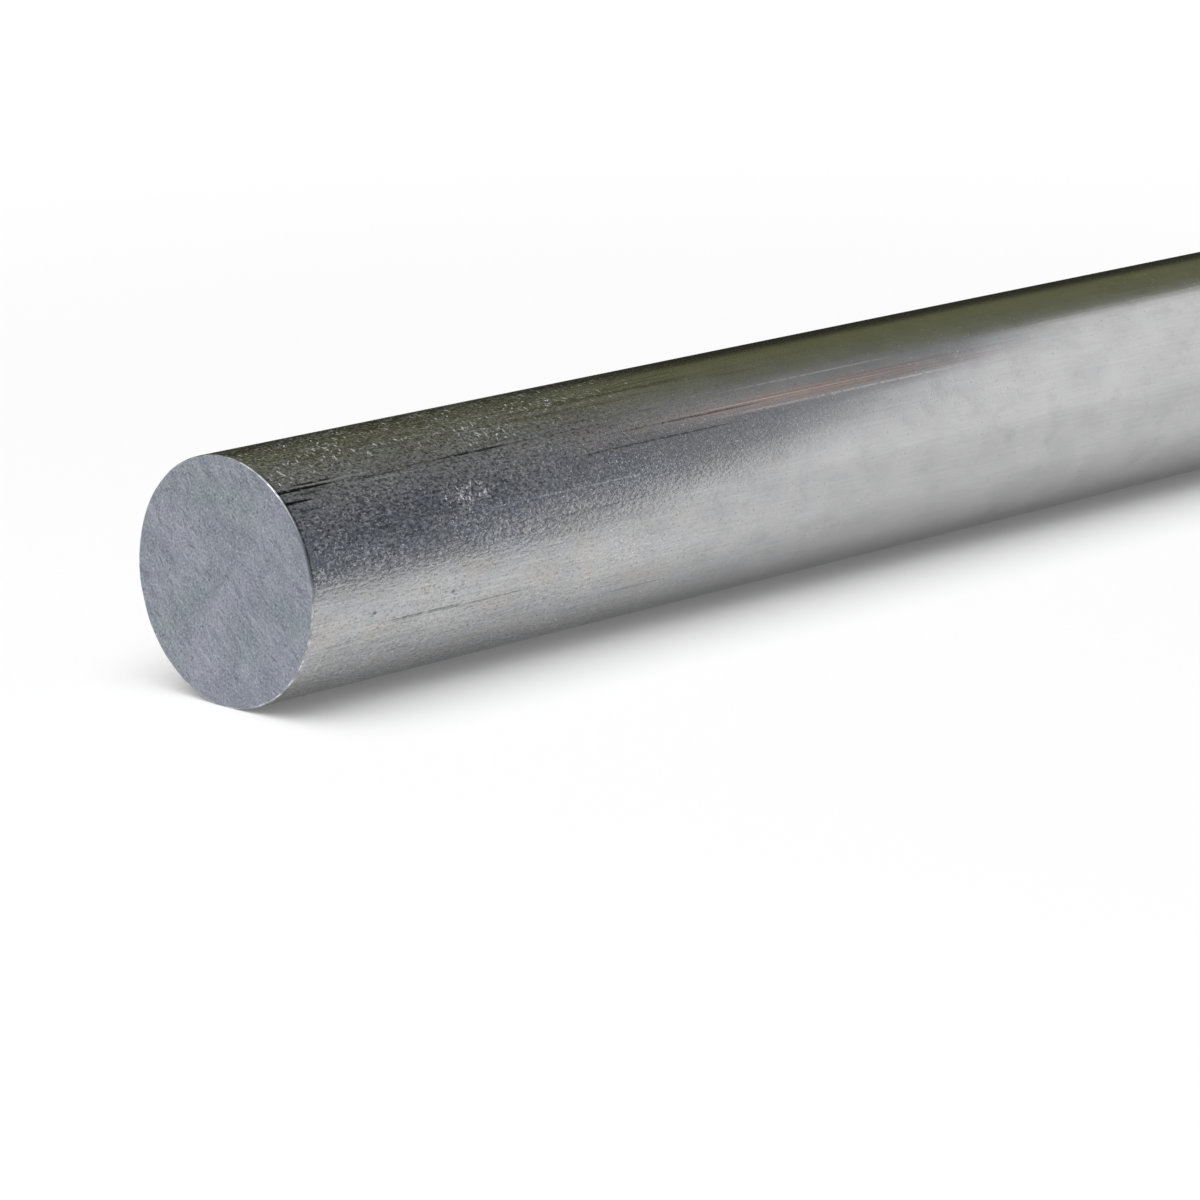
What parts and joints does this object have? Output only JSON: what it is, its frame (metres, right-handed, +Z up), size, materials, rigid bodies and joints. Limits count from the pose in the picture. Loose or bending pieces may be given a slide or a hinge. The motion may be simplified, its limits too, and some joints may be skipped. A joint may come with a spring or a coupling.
{
  "type": "round metal bar",
  "caption": "Straight solid round metal bar with plain drawn sides and two square sawn ends, edges broken; raw stock for turning, clamping or framing.",
  "frame": {"origin": "centre of the near sawn end face, on the bar's axis", "axes": "+X along the bar from the near end to the far end, +Z up; the bar lies on a floor at z = -0.0127"},
  "size_m": [0.3048, 0.0254, 0.0254],
  "materials": {
    "mill_finish_metal": "satin mill finish with fine lines along the bar and light handling scuffs; ends sawn and duller"
  },
  "bodies": {
    "root": {"round_bar": "mill_finish_metal"}
  },
  "joints": []
}
